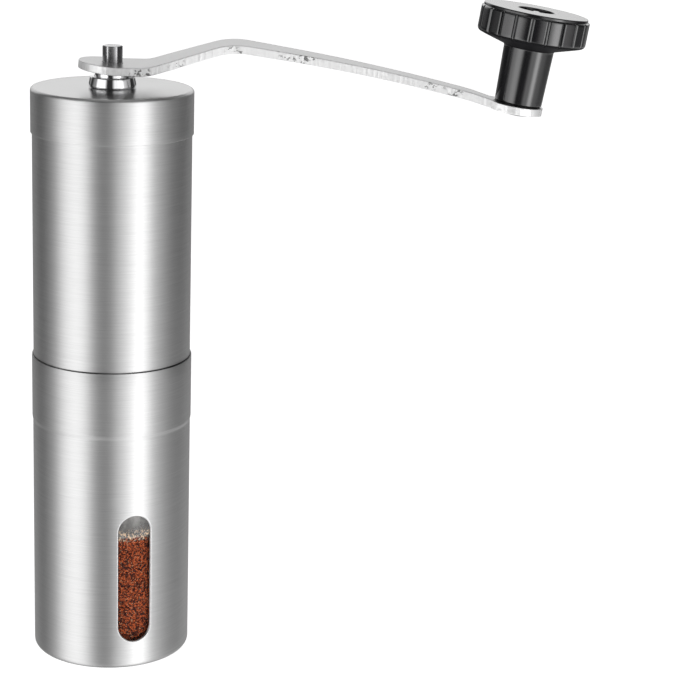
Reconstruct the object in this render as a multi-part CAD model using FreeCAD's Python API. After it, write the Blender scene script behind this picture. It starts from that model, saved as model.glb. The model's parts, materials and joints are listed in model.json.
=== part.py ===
import FreeCAD, Part
import math
import os

V = FreeCAD.Vector
UP = V(0, 0, 1)
ORIGIN = V(0, 0, 0)

# ---------------------------------------------------------------------------
# Driving dimensions, in millimetres and degrees.
# Origin: centre of the cup's flat bottom. +Z up, +X along the crank at rest.
# ---------------------------------------------------------------------------

TUBE_R = 24.0            # outer radius of the bean chamber's steel tube
TUBE_WALL = 0.6
SLIP = 0.06              # radial gap of a sliding or running fit
REST_GAP = 0.05          # gap between flat faces that rest on each other across a joint
PRESS_GAP = 0.02         # gap between pressed pieces of one body

CUP_R = 24.25            # outer radius of the catch cup
CUP_WALL = 0.6
CUP_FLOOR = 0.8
CUP_FOOT_ROUND = 1.8
SOCKET_R = 24.47         # the cup's widened mouth, which slips over the tube
SOCKET_Z = 75.6          # where the cup widens
RIM_Z = 95.4             # top of the cup, the seam in the middle of the body
SOCKET_STEP = 0.5        # height of the slope where the cup widens

WINDOW_AZIMUTH = 20.1
WINDOW_WIDTH = 10.2
WINDOW_LOW_Z = 9.0
WINDOW_HIGH_Z = 49.9
WINDOW_BEVEL = 0.35

LINER_WALL = 1.2
LINER_TOP_Z = 74.9
LINER_FLOOR = 1.5

TUBE_LOW_Z = SOCKET_Z + SOCKET_STEP
TUBE_TOP_Z = 175.95

LID_R = 24.46
LID_TOP_Z = 177.6
LID_SKIRT_Z = 164.1
LID_PLATE = 0.8
LID_ROUND = 1.2
GASKET_THICKNESS = 0.75
GASKET_IN_R = 19.5
GASKET_OUT_R = 23.95

EYELET_BASE_R = 7.05     # the bright barrel-shaped ring round the shaft
EYELET_WIDE_R = 7.4
EYELET_WIDE_Z = 179.3
EYELET_TOP_R = 6.55
EYELET_TOP_Z = 181.0
EYELET_FLANGE = 0.7
EYELET_NECK_R = 6.15
EYELET_FLANGE_R = 8.0

SHAFT_R = 3.1
SHAFT_LOW_Z = 66.5
SHAFT_FLATS = 4.8        # across the two flats that drive the inner burr
FLATS_TOP_Z = 103.5
HEX_FLATS = 5.7          # across the flats of the end that drives the crank
HEX_LOW_Z = 182.45
HEX_TOP_Z = 190.1
COLLAR_R = 5.3
COLLAR_LOW_Z = 171.5

# the plastic housing that carries the outer burr and funnels the beans
HOUSING_R = TUBE_R - TUBE_WALL - PRESS_GAP
HOUSING_LOW_Z = 78.0
HOUSING_TOP_Z = 113.0
HOUSING_WALL = 1.4
SEAT_R = 14.97
SEAT_LOW_Z = 84.0
SEAT_TOP_Z = 98.6
THROAT_R = 12.9
THROAT_TOP_Z = 100.3
N_BOSSES = 3
BOSS_R = 2.6
BOSS_CIRCLE_R = 18.9
POST_CIRCLE_R = 19.4
PILOT_R = 1.0
SCREW_R = 0.95
SCREW_HEAD_R = 2.0
SCREW_HEAD = 1.3

RETAINER_LOW_Z = 81.0
RETAINER_IN_R = 13.4
RETAINER_OUT_R = 21.6

BRACKET_THICKNESS = 4.0
BRACKET_RING_IN_R = 21.0
BRACKET_ARM_WIDTH = 5.0
BRACKET_HUB_R = 6.2
BUSH_R = 4.3
BUSH_LOW_Z = 110.0
BUSH_TOP_Z = 122.0
BUSH_FLANGE_R = 5.6
BUSH_FLANGE = 0.8
CLIP_GROOVE_R = 2.5
CLIP_THICKNESS = 0.8

# burrs: the cone's outline as (radius, height), top to bottom
CONE = [(5.6, 101.5), (8.0, 93.0), (10.6, 88.0), (12.2, 83.5), (12.0, 82.5)]
CONE_BORE_R = 4.6
GRIND_GAP = 0.3
OUTER_BURR_R = 14.9
N_COARSE = 8
N_FINE = 30
N_OUTER = 24

CORE_FLANGE_R = 8.5
CORE_LOW_Z = 80.9
CORE_TOP_Z = 102.2

DIAL_R = 12.6
DIAL_LOW_Z = 70.5
DIAL_TOP_Z = CORE_LOW_Z - REST_GAP
N_DIAL_SCALLOPS = 12
NUT_FLATS = 9.0
NUT_LOW_Z = 73.0
NUT_HEIGHT = 5.0

SPRING_WIRE_R = 0.45
SPRING_R = 4.4
SPRING_TURNS = 4.5
SPRING_STEPS = 18        # wire sections in each turn

# the crank: a flat strip, seen from the side as its top line (distance, height, bend radius)
STRIP = 2.4
HUB_TOP_Z = HEX_LOW_Z + REST_GAP + STRIP
KNOB_X = 121.9           # shaft axis to knob axis, along the crank
END_SLOPE = 8.5          # the end disc falls away at this angle, and the knob leans as much
ARM_LINE = [
    (-14.0, HUB_TOP_Z + 1.5, 0.0),
    (1.0, HUB_TOP_Z, 25.0),
    (10.6, HUB_TOP_Z, 10.0),
    (35.2, 192.5, 24.0),
    (77.0, 186.17, 600.0),
    (107.5, 179.0, 60.0),
    (115.4, 176.4, 4.0),
]
# half widths of the strip along it, as (distance, half width)
ARM_TAPER = [(6.0, 10.8), (18.0, 10.4), (36.0, 8.0), (60.0, 6.3), (82.0, 5.2), (116.0, 4.9)]
HUB_R = 10.8
HUB_SHIFT = 0.8          # the rounded hub end is centred this far beyond the shaft
END_R = 8.7
END_X = 120.8            # the end disc's centre, a little short of the knob's axis
PLAN_LOW_Z = 150.0       # heights between which the arm's plan view is cut
PLAN_HIGH_Z = 210.0
HEX_PLAY = 0.08

# the knob, as heights along its own leaning axis above the end disc
KNOB_WASHER = 0.25
KNOB_WASHER_R = 6.0
SLEEVE_LOW_R = 7.15
SLEEVE_TOP_R = 7.6
SLEEVE_TOP = 17.2
HEAD_CONE_R = 14.4
HEAD_LOW = 19.9
HEAD_TOP = 28.5
HEAD_STEP = 1.3          # the smooth band between the lobes and the top face
HEAD_R = 16.4
HEAD_FACE_R = 15.75
N_LOBES = 21
LOBE_TURN = 2.5          # angle of the first groove between lobes
LOBE_GROOVE_R = 0.75
RECESS_R = 5.5
RECESS_DEPTH = 3.4
PIN_R = 2.8
PIN_TENON_R = 2.3
PIN_HEAD_R = 3.8
PIN_HEAD_SIDE = 2.0      # height of the head's side, below its crown
PIN_HEAD_HIGH = 2.95
PIN_CROWN_R = 1.5
RIVET_HEAD_R = 4.2


# ---------------------------------------------------------------------------
# Shape helpers
# ---------------------------------------------------------------------------

def outline(corners, place=lambda a, b: V(a, 0, b)):
    """Closed wire through (a, b) or (a, b, radius) corners, each radius a tangent arc."""
    n = len(corners)
    flat = [V(c[0], c[1], 0) for c in corners]
    radii = [c[2] if len(c) > 2 else 0.0 for c in corners]
    ends, mids = [], []
    for i in range(n):
        p, before, after = flat[i], flat[i - 1], flat[(i + 1) % n]
        if radii[i] <= 0:
            ends.append((p, p))
            mids.append(None)
            continue
        u, w = (before - p).normalize(), (after - p).normalize()
        half = u.getAngle(w) / 2
        reach = radii[i] / math.tan(half)
        centre = p + (u + w).normalize() * (radii[i] / math.sin(half))
        ends.append((p + u * reach, p + w * reach))
        mids.append(centre + (p - centre).normalize() * radii[i])
    edges = []
    for i in range(n):
        a, b = ends[i]
        if mids[i] is not None:
            edges.append(Part.Arc(place(a.x, a.y), place(mids[i].x, mids[i].y), place(b.x, b.y)).toShape())
        c = ends[(i + 1) % n][0]
        if (c - b).Length > 1e-6:
            edges.append(Part.LineSegment(place(b.x, b.y), place(c.x, c.y)).toShape())
    return Part.Wire(edges)


def spin(corners):
    """Solid of revolution about Z from an outline in radius and height."""
    return Part.Face(outline(corners)).revolve(ORIGIN, UP, 360)


def at(r, degrees, z=0.0):
    """Point at a radius, an angle and a height."""
    a = math.radians(degrees)
    return V(r * math.cos(a), r * math.sin(a), z)


def cylinder(r, low, high, centre=ORIGIN):
    return Part.makeCylinder(r, high - low, V(centre.x, centre.y, low))


def ring(r_in, r_out, low, high):
    return spin([(r_in, low), (r_out, low), (r_out, high), (r_in, high)])


def prism(flats, low, high, sides=6):
    """Upright prism of regular section, given across its flats."""
    r = flats / 2 / math.cos(math.pi / sides)
    points = [at(r, 360.0 * k / sides, low) for k in range(sides + 1)]
    return Part.Face(Part.makePolygon(points)).extrude(V(0, 0, high - low))


def around(count, first=0.0):
    """The angles of a ring of count equal places."""
    return [first + 360.0 * k / count for k in range(count)]


def turned(shape, degrees):
    copy = shape.copy()
    copy.rotate(ORIGIN, UP, degrees)
    return copy


def flattened(shape, across, low, high):
    """Two parallel flats on an upright bar, facing +X and -X, between two heights."""
    for side in (1, -1):
        x = across / 2 if side > 0 else -across / 2 - 10
        shape = shape.cut(Part.makeBox(10, 40, high - low, V(x, -20, low)))
    return shape


def rod(start, end, r):
    return Part.makeCylinder(r, (end - start).Length, start, end - start)


# ---------------------------------------------------------------------------
# Catch cup
# ---------------------------------------------------------------------------

def obround(width, low, high, depth_in, depth_out):
    """Upright slot cutter from radius depth_in to depth_out along -Y, before it is turned."""
    r = width / 2
    wire = outline(
        [(-r, low, r - 1e-4), (r, low, r - 1e-4), (r, high, r - 1e-4), (-r, high, r - 1e-4)],
        place=lambda a, b: V(a, -depth_in, b),
    )
    return Part.Face(wire).extrude(V(0, depth_in - depth_out, 0))


def window_edges(shell):
    """The edges where the window breaks the cup's outer surface."""
    found = []
    for edge in shell.Edges:
        middle = edge.valueAt((edge.FirstParameter + edge.LastParameter) / 2)
        on_outside = abs(math.hypot(middle.x, middle.y) - CUP_R) < 0.02
        box = edge.BoundBox
        if on_outside and box.ZMin > WINDOW_LOW_Z - 1 and box.ZMax < WINDOW_HIGH_Z + 1:
            found.append(edge)
    return found


def catch_cup_shell():
    """Deep-drawn steel cup with a widened mouth and a round-ended window."""
    in_r = CUP_R - CUP_WALL
    mouth_r = TUBE_R + SLIP
    ledge_z = TUBE_LOW_Z - REST_GAP
    shell = spin([
        (0, 0), (CUP_R, 0, CUP_FOOT_ROUND), (CUP_R, SOCKET_Z - SOCKET_STEP), (SOCKET_R, SOCKET_Z),
        (SOCKET_R, RIM_Z, 0.15), (mouth_r, RIM_Z), (mouth_r, ledge_z), (in_r, ledge_z),
        (in_r, CUP_FLOOR, CUP_FOOT_ROUND - CUP_WALL), (0, CUP_FLOOR),
    ])
    slot = obround(WINDOW_WIDTH, WINDOW_LOW_Z, WINDOW_HIGH_Z, CUP_R - 6, CUP_R + 6)
    shell = shell.cut(turned(slot, WINDOW_AZIMUTH))
    return shell.makeChamfer(WINDOW_BEVEL, window_edges(shell))


def catch_liner():
    """Clear plastic beaker inside the cup, seen through the window."""
    out_r = CUP_R - CUP_WALL - 0.1
    low = CUP_FLOOR + REST_GAP
    return spin([
        (0, low), (out_r, low, 1.3), (out_r, LINER_TOP_Z), (out_r - LINER_WALL, LINER_TOP_Z),
        (out_r - LINER_WALL, low + LINER_FLOOR, 1.0), (0, low + LINER_FLOOR),
    ])


# ---------------------------------------------------------------------------
# Bean chamber and lid
# ---------------------------------------------------------------------------

def upper_tube():
    return spin([
        (TUBE_R - TUBE_WALL, TUBE_LOW_Z), (TUBE_R, TUBE_LOW_Z, 0.2),
        (TUBE_R, TUBE_TOP_Z, 0.2), (TUBE_R - TUBE_WALL, TUBE_TOP_Z),
    ])


def lid_cap():
    """Pressed steel lid whose skirt slips over the tube."""
    skirt_in_r = TUBE_R + SLIP
    plate_low = LID_TOP_Z - LID_PLATE
    return spin([
        (EYELET_NECK_R + PRESS_GAP, LID_TOP_Z), (LID_R, LID_TOP_Z, LID_ROUND), (LID_R, LID_SKIRT_Z, 0.15),
        (skirt_in_r, LID_SKIRT_Z), (skirt_in_r, plate_low, LID_ROUND - 0.8),
        (EYELET_NECK_R + PRESS_GAP, plate_low),
    ])


def lid_gasket():
    """Flat seal between the lid's plate and the end of the tube."""
    high = LID_TOP_Z - LID_PLATE
    low = high - GASKET_THICKNESS
    return spin([
        (GASKET_IN_R, low), (GASKET_OUT_R, low), (GASKET_OUT_R, high - 0.45), (GASKET_OUT_R - 0.45, high),
        (GASKET_IN_R, high),
    ])


def lid_eyelet():
    """Bright barrel-shaped ring riveted into the lid, with a flange below the plate."""
    bore = COLLAR_R + 0.15
    plate_low = LID_TOP_Z - LID_PLATE
    flange_low = plate_low - EYELET_FLANGE
    return spin([
        (bore, flange_low), (EYELET_FLANGE_R, flange_low), (EYELET_FLANGE_R, plate_low),
        (EYELET_NECK_R, plate_low), (EYELET_NECK_R, LID_TOP_Z), (EYELET_BASE_R, LID_TOP_Z),
        (EYELET_WIDE_R, EYELET_WIDE_Z, 4.0), (EYELET_TOP_R, EYELET_TOP_Z, 0.15), (bore, EYELET_TOP_Z),
    ])


# ---------------------------------------------------------------------------
# Burr housing, bracket and their screws
# ---------------------------------------------------------------------------

def burr_housing():
    """Funnel, burr seat and skirt in one moulding, with screw bosses below and posts above."""
    skirt_in = HOUSING_R - HOUSING_WALL
    seat_out = SEAT_R + 1.6
    body = spin([
        (HOUSING_R, HOUSING_LOW_Z), (HOUSING_R, HOUSING_TOP_Z), (HOUSING_R - 1.1, HOUSING_TOP_Z),
        (HOUSING_R - 1.5, HOUSING_TOP_Z - 2.2), (THROAT_R, THROAT_TOP_Z), (THROAT_R, SEAT_TOP_Z),
        (SEAT_R, SEAT_TOP_Z), (SEAT_R, SEAT_LOW_Z), (seat_out, SEAT_LOW_Z), (seat_out, SEAT_TOP_Z + 1.0),
        (skirt_in, HOUSING_TOP_Z - 6.5), (skirt_in, HOUSING_LOW_Z),
    ])
    for angle in around(N_BOSSES):
        boss, post = at(BOSS_CIRCLE_R, angle + 60), at(POST_CIRCLE_R, angle)
        body = body.fuse(cylinder(BOSS_R, SEAT_LOW_Z, SEAT_TOP_Z + 6.0, boss))
        body = body.fuse(cylinder(BOSS_R, HOUSING_TOP_Z - 7.0, HOUSING_TOP_Z, post))
    for angle in around(N_BOSSES):
        boss, post = at(BOSS_CIRCLE_R, angle + 60), at(POST_CIRCLE_R, angle)
        body = body.cut(cylinder(PILOT_R, SEAT_LOW_Z - 1, SEAT_LOW_Z + 9.0, boss))
        body = body.cut(cylinder(PILOT_R, HOUSING_TOP_Z - 6.0, HOUSING_TOP_Z + 1, post))
    body = body.common(cylinder(HOUSING_R, HOUSING_LOW_Z, HOUSING_TOP_Z))
    return body.removeSplitter()


def burr_retainer():
    """Flat ring screwed under the outer burr."""
    plate = ring(RETAINER_IN_R, RETAINER_OUT_R, RETAINER_LOW_Z, SEAT_LOW_Z)
    for angle in around(N_BOSSES, 60):
        hole = cylinder(PILOT_R + 0.2, RETAINER_LOW_Z - 1, SEAT_LOW_Z + 1, at(BOSS_CIRCLE_R, angle))
        plate = plate.cut(hole)
    return plate


def pan_screw(length):
    """Pan-head screw standing on z = 0 with its shank below and a cross recess."""
    screw = spin([
        (0, -length), (SCREW_R / 2, -length), (SCREW_R, 0.8 - length), (SCREW_R, 0), (SCREW_HEAD_R, 0),
        (SCREW_HEAD_R, SCREW_HEAD, 0.6), (0, SCREW_HEAD),
    ])
    for wide, deep in ((2.4, 0.6), (0.6, 2.4)):
        screw = screw.cut(Part.makeBox(wide, deep, 1, V(-wide / 2, -deep / 2, SCREW_HEAD - 0.6)))
    return screw


def screws(length, places, pointing_up=False):
    """A screw at each place, all on their heads if pointing up."""
    group = []
    for place in places:
        screw = pan_screw(length)
        if pointing_up:
            screw.rotate(ORIGIN, V(1, 0, 0), 180)
        screw.translate(place)
        group.append(screw)
    return Part.makeCompound(group)


def retainer_screws():
    return screws(10.0, [at(BOSS_CIRCLE_R, a, RETAINER_LOW_Z) for a in around(N_BOSSES, 60)], True)


def bearing_bracket():
    """Three-armed bracket that holds the shaft's bush over the funnel."""
    low, high = HOUSING_TOP_Z, HOUSING_TOP_Z + BRACKET_THICKNESS
    body = ring(BRACKET_RING_IN_R, HOUSING_R, low, high)
    body = body.fuse(cylinder(BRACKET_HUB_R, BUSH_LOW_Z, BUSH_TOP_Z))
    wide = BRACKET_ARM_WIDTH
    arm = Part.makeBox(BRACKET_RING_IN_R + 0.8, wide, BRACKET_THICKNESS, V(0, -wide / 2, low))
    for angle in around(N_BOSSES):
        body = body.fuse(turned(arm, angle)).fuse(cylinder(BOSS_R + 0.3, low, high, at(POST_CIRCLE_R, angle)))
    for angle in around(N_BOSSES):
        body = body.cut(cylinder(PILOT_R + 0.2, low - 1, high + 1, at(POST_CIRCLE_R, angle)))
    body = body.cut(cylinder(BUSH_R, BUSH_LOW_Z - 1, BUSH_TOP_Z + 1))
    body = body.common(cylinder(HOUSING_R, BUSH_LOW_Z - 1, BUSH_TOP_Z + 1))
    return body.removeSplitter()


def bracket_screws():
    top = HOUSING_TOP_Z + BRACKET_THICKNESS
    return screws(9.0, [at(POST_CIRCLE_R, a, top) for a in around(N_BOSSES)])


def bracket_bush():
    """Flanged sleeve that the shaft turns in."""
    return spin([
        (SHAFT_R + SLIP, BUSH_LOW_Z), (BUSH_R - PRESS_GAP, BUSH_LOW_Z), (BUSH_R - PRESS_GAP, BUSH_TOP_Z),
        (BUSH_FLANGE_R, BUSH_TOP_Z), (BUSH_FLANGE_R, BUSH_TOP_Z + BUSH_FLANGE),
        (SHAFT_R + SLIP, BUSH_TOP_Z + BUSH_FLANGE),
    ])


# ---------------------------------------------------------------------------
# Shaft and what is fixed on it
# ---------------------------------------------------------------------------

CLIP_LOW_Z = BUSH_TOP_Z + BUSH_FLANGE + 0.6


def drive_shaft():
    """Round bar with a hexagonal driving end, a clip groove and two long flats below."""
    groove_top = CLIP_LOW_Z + CLIP_THICKNESS + 0.1
    bar = spin([
        (0, SHAFT_LOW_Z), (SHAFT_R - 0.6, SHAFT_LOW_Z), (SHAFT_R, SHAFT_LOW_Z + 0.6),
        (SHAFT_R, CLIP_LOW_Z), (CLIP_GROOVE_R, CLIP_LOW_Z), (CLIP_GROOVE_R, groove_top),
        (SHAFT_R, groove_top), (SHAFT_R, HEX_LOW_Z), (0, HEX_LOW_Z),
    ])
    bar = flattened(bar, SHAFT_FLATS, SHAFT_LOW_Z - 1, FLATS_TOP_Z)
    end = spin([(0, HEX_LOW_Z), (SHAFT_R, HEX_LOW_Z), (SHAFT_R, HEX_TOP_Z, 0.3), (0, HEX_TOP_Z)])
    end = end.common(prism(HEX_FLATS, HEX_LOW_Z, HEX_TOP_Z))
    return bar.fuse(end).removeSplitter()


def shaft_collar():
    """Plain bright collar that the crank rests on and the lid's ring clears."""
    in_r = SHAFT_R + PRESS_GAP
    return spin([
        (in_r, COLLAR_LOW_Z), (COLLAR_R, COLLAR_LOW_Z, 0.4), (COLLAR_R, HEX_LOW_Z, 0.25), (in_r, HEX_LOW_Z),
    ])


def thrust_washer():
    low = BUSH_TOP_Z + BUSH_FLANGE + REST_GAP
    return ring(SHAFT_R + SLIP, BUSH_FLANGE_R, low, CLIP_LOW_Z)


def thrust_clip():
    """E-shaped clip in the shaft's groove, which takes the spring's push."""
    clip = ring(CLIP_GROOVE_R + PRESS_GAP, 5.0, CLIP_LOW_Z + 0.02, CLIP_LOW_Z + CLIP_THICKNESS)
    mouth = Part.makeBox(8, 3.6, 3, V(0, -1.8, CLIP_LOW_Z - 1))
    clip = clip.cut(mouth)
    for angle in (120, 240):
        clip = clip.cut(cylinder(0.8, CLIP_LOW_Z - 1, CLIP_LOW_Z + 2, at(3.6, angle)))
    return clip


def spring_washer():
    return ring(SHAFT_R + SLIP, 6.0, BUSH_LOW_Z - 0.8, BUSH_LOW_Z - REST_GAP)


def burr_spring():
    """Compression spring between the bracket and the inner burr: eight-sided wire, lofted round a helix."""
    low = CORE_TOP_Z + REST_GAP + SPRING_WIRE_R
    high = BUSH_LOW_Z - 0.8 - REST_GAP - SPRING_WIRE_R
    steps = int(SPRING_TURNS * SPRING_STEPS)
    sections = []
    for k in range(steps + 1):
        turn = 360.0 * k / SPRING_STEPS
        outward = at(1.0, turn)
        centre = at(SPRING_R, turn, low + (high - low) * k / steps)
        around_wire = [at(SPRING_WIRE_R, 45.0 * i) for i in range(9)]
        sections.append(Part.makePolygon([centre + outward * p.x + UP * p.y for p in around_wire]))
    return Part.makeLoft(sections, True, True)


# ---------------------------------------------------------------------------
# Burrs and grind adjuster
# ---------------------------------------------------------------------------

def cone_radius(z):
    """Radius of the inner burr's cone at a height."""
    for (r1, z1), (r2, z2) in zip(CONE, CONE[1:]):
        if z2 <= z <= z1:
            return r1 + (r2 - r1) * (z1 - z) / (z1 - z2)
    return CONE[0][0]


def inner_burr():
    """Ceramic cone with wide slanting flutes above and fine teeth below."""
    cone = spin([(CONE_BORE_R, CONE[0][1])] + CONE + [(CONE_BORE_R, CONE[-1][1])])
    cutters = []
    for angle in around(N_COARSE):
        top = at(cone_radius(101) + 1.0, angle, CONE[0][1] + 2.0)
        low = at(cone_radius(88) + 1.0, angle + 40, 87.5)
        cutters.append(rod(top, low, 1.7))
    for angle in around(N_FINE):
        top = at(cone_radius(89.5) + 0.55, angle, 90.0)
        low = at(CONE[3][0] + 0.3, angle + 18, 81.8)
        cutters.append(rod(top, low, 0.62))
    return cone.cut(Part.makeCompound(cutters))


def outer_burr():
    """Ceramic ring: its throat narrows, then follows the cone at the grinding gap."""
    low = SEAT_LOW_Z + 0.02
    high = SEAT_TOP_Z - 0.05
    edge = cone_radius(SEAT_LOW_Z) + GRIND_GAP
    middle = cone_radius(88.0) + GRIND_GAP + 0.1
    body = spin([
        (edge, low), (OUTER_BURR_R, low, 0.5), (OUTER_BURR_R, high, 0.5), (12.3, high), (10.4, 91.0),
        (middle, 88.0),
    ])
    cutters = []
    for angle in around(N_OUTER):
        start = at(10.9, angle, 99.5)
        end = at(edge - 0.1, angle - 20, SEAT_LOW_Z - 1.0)
        cutters.append(rod(start, end, 0.55))
    return body.cut(Part.makeCompound(cutters))


def burr_core():
    """Plastic core of the inner burr, keyed to the shaft's flats so that it slides but can't turn."""
    core = spin([
        (0, CORE_LOW_Z), (CORE_FLANGE_R, CORE_LOW_Z, 0.4), (CORE_FLANGE_R, CONE[-1][1]),
        (CONE_BORE_R - PRESS_GAP, CONE[-1][1]), (CONE_BORE_R - PRESS_GAP, CORE_TOP_Z), (0, CORE_TOP_Z),
    ])
    key = cylinder(SHAFT_R + SLIP, CORE_LOW_Z - 1, CORE_TOP_Z + 1)
    key = flattened(key, SHAFT_FLATS + 2 * SLIP, CORE_LOW_Z - 2, CORE_TOP_Z + 2)
    return core.cut(key)


def adjuster_dial():
    """Scalloped plastic dial that sets the grind, with a pocket for its nut."""
    dial = spin([
        (0, DIAL_LOW_Z), (DIAL_R - 1.2, DIAL_LOW_Z, 0.8), (DIAL_R, DIAL_LOW_Z + 5.0, 0.8),
        (DIAL_R, DIAL_TOP_Z, 0.5), (0, DIAL_TOP_Z),
    ])
    for angle in around(N_DIAL_SCALLOPS):
        dial = dial.cut(cylinder(1.9, DIAL_LOW_Z - 1, DIAL_TOP_Z + 1, at(DIAL_R + 1.1, angle + 15)))
        dial = dial.cut(cylinder(0.55, DIAL_TOP_Z - 0.5, DIAL_TOP_Z + 1, at(10.4, angle)))
    dial = dial.cut(cylinder(SHAFT_R + 0.4, DIAL_LOW_Z - 1, DIAL_TOP_Z + 1))
    dial = dial.cut(prism(NUT_FLATS + 0.1, NUT_LOW_Z, NUT_LOW_Z + NUT_HEIGHT))
    dial = dial.cut(cylinder(7.2, NUT_LOW_Z + NUT_HEIGHT, DIAL_TOP_Z + 1))
    return dial.cut(ring(7.6, 9.2, DIAL_LOW_Z - 1, DIAL_LOW_Z + 0.6))


def adjuster_nut():
    """Steel nut in the dial that runs on the shaft's thread."""
    nut = prism(NUT_FLATS, NUT_LOW_Z, NUT_LOW_Z + NUT_HEIGHT)
    crown = spin([
        (0, NUT_LOW_Z), (NUT_FLATS, NUT_LOW_Z), (NUT_FLATS, NUT_LOW_Z + NUT_HEIGHT - 3.0),
        (NUT_FLATS / 2, NUT_LOW_Z + NUT_HEIGHT), (0, NUT_LOW_Z + NUT_HEIGHT),
    ])
    return nut.common(crown).cut(cylinder(SHAFT_R + SLIP, NUT_LOW_Z - 1, NUT_LOW_Z + NUT_HEIGHT + 1))


# ---------------------------------------------------------------------------
# Crank and knob
# ---------------------------------------------------------------------------

def arm_line():
    """The strip's top line with its sloping end added."""
    x, z, _ = ARM_LINE[-1]
    reach = 18.0
    slope = math.radians(END_SLOPE)
    return ARM_LINE + [(x + reach * math.cos(slope), z - reach * math.sin(slope), 0.0)]


def knob_foot():
    """Where the knob's axis meets the top of the end disc."""
    x, z, _ = ARM_LINE[-1]
    return V(KNOB_X, 0, z - (KNOB_X - x) * math.tan(math.radians(END_SLOPE)))


def offset_below(line, distance):
    """The line moved square to itself by distance, mitred at its bends."""
    moved = []
    for i, (x, z, r) in enumerate(line):
        normals = []
        for a, b in ((i - 1, i), (i, i + 1)):
            if a >= 0 and b < len(line):
                d = V(line[b][0] - line[a][0], 0, line[b][1] - line[a][1]).normalize()
                normals.append(V(d.z, 0, -d.x))
        n = normals[0] if len(normals) == 1 else (normals[0] + normals[1]).normalize()
        stretch = distance / n.dot(normals[0])
        turning_up = normals[0].cross(normals[-1]).y < 0
        radius = r + (distance if turning_up else -distance) if r else 0.0
        moved.append((x + n.x * stretch, z + n.z * stretch, radius))
    return moved


def along_knob(shape):
    """Places a shape made upright at the origin on the knob's leaning axis."""
    placed = shape.copy()
    placed.rotate(ORIGIN, V(0, 1, 0), END_SLOPE)
    placed.translate(knob_foot())
    return placed


def arm_plan():
    """The arm seen from above: a tapered strip between the round hub and the end disc."""
    side = [(x, w, 20.0) for x, w in ARM_TAPER[:-1]] + [ARM_TAPER[-1]]
    other = [(c[0], -c[1]) + c[2:] for c in reversed(side)]
    start_w = ARM_TAPER[0][1]
    corners = side + other + [(HUB_SHIFT, -start_w), (HUB_SHIFT, start_w)]
    strip = outline(corners, lambda a, b: V(a, b, PLAN_LOW_Z))
    plan = Part.Face(strip).extrude(V(0, 0, PLAN_HIGH_Z - PLAN_LOW_Z))
    plan = plan.fuse(cylinder(HUB_R, PLAN_LOW_Z, PLAN_HIGH_Z, V(HUB_SHIFT, 0, 0)))
    return plan.fuse(cylinder(END_R, PLAN_LOW_Z, PLAN_HIGH_Z, V(END_X, 0, 0)))


def crank_arm():
    """Bent strip: its side view, extruded, meets its plan view."""
    line = arm_line()
    side = outline(line + offset_below(line, STRIP)[::-1])
    strip = Part.Face(side).extrude(V(0, 4 * HUB_R, 0))
    strip.translate(V(0, -2 * HUB_R, 0))
    arm = strip.common(arm_plan())
    arm = arm.cut(prism(HEX_FLATS + 2 * HEX_PLAY, HEX_LOW_Z - 2, HEX_TOP_Z))
    return arm.cut(along_knob(cylinder(PIN_TENON_R, -8, 8)))


def knob_washer():
    return along_knob(ring(PIN_R + SLIP, KNOB_WASHER_R, 0.03, KNOB_WASHER))


def knob_grip():
    """Black moulding: a slim sleeve, a cone below the head and a head with rounded lobes."""
    low = KNOB_WASHER + REST_GAP
    band = HEAD_TOP - HEAD_STEP
    floor = HEAD_TOP - RECESS_DEPTH
    body = spin([
        (PIN_R + SLIP, low), (SLEEVE_LOW_R, low, 0.3), (SLEEVE_TOP_R, SLEEVE_TOP, 0.6),
        (HEAD_CONE_R, HEAD_LOW, 3.0), (HEAD_R, HEAD_LOW + 0.7, 1.2), (HEAD_R, band, 0.5), (HEAD_FACE_R, band),
        (HEAD_FACE_R, HEAD_TOP, 0.3), (RECESS_R, HEAD_TOP, 0.3), (RECESS_R, floor), (PIN_R + SLIP, floor),
    ])
    groove = cylinder(LOBE_GROOVE_R, HEAD_LOW - 3, band, at(HEAD_R + 0.25, LOBE_TURN))
    return along_knob(body.cut(Part.makeCompound([turned(groove, a) for a in around(N_LOBES)])))


def knob_pin():
    """Shouldered rivet: domed head in the knob's recess, tenon through the arm, spread below it."""
    floor = HEAD_TOP - RECESS_DEPTH + REST_GAP
    under = -STRIP - 0.03
    body = spin([
        (0, under - 0.9), (RIVET_HEAD_R, under - 0.9, 0.6), (RIVET_HEAD_R, under),
        (PIN_TENON_R - PRESS_GAP, under), (PIN_TENON_R - PRESS_GAP, 0.03), (PIN_R, 0.03), (PIN_R, floor),
        (PIN_HEAD_R, floor), (PIN_HEAD_R, floor + PIN_HEAD_SIDE, 1.2),
        (PIN_CROWN_R, floor + PIN_HEAD_HIGH - 0.1, 2.0), (0, floor + PIN_HEAD_HIGH),
    ])
    return along_knob(body)


# ---------------------------------------------------------------------------

SUBPARTS = [
    catch_cup_shell, catch_liner,
    upper_tube, burr_housing, outer_burr, burr_retainer, retainer_screws,
    bearing_bracket, bracket_screws, bracket_bush,
    lid_cap, lid_gasket, lid_eyelet,
    drive_shaft, shaft_collar, thrust_washer, thrust_clip, spring_washer, burr_spring,
    inner_burr, burr_core,
    adjuster_dial, adjuster_nut,
    crank_arm, knob_pin,
    knob_grip, knob_washer,
]


def main():
    os.makedirs("parts", exist_ok=True)
    for make in SUBPARTS:
        shape = make()
        if not shape.isValid() or not shape.Solids:
            raise RuntimeError(make.__name__ + " is not a valid solid")
        shape.exportStep(os.path.join("parts", make.__name__ + ".step"))
        print("%-18s solids %d  volume %.1f mm3" % (make.__name__, len(shape.Solids), shape.Volume))


main()
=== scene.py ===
"""Hand crank coffee grinder: its finished surfaces, materials and studio, built round the fixed frame.

Laid out as an add-on and run as a script. Lengths are in metres and angles in radians unless said
otherwise, in the frame's own axes: +Z up, the crank along +X, and the front towards -Y.
"""

import json
import math

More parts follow.
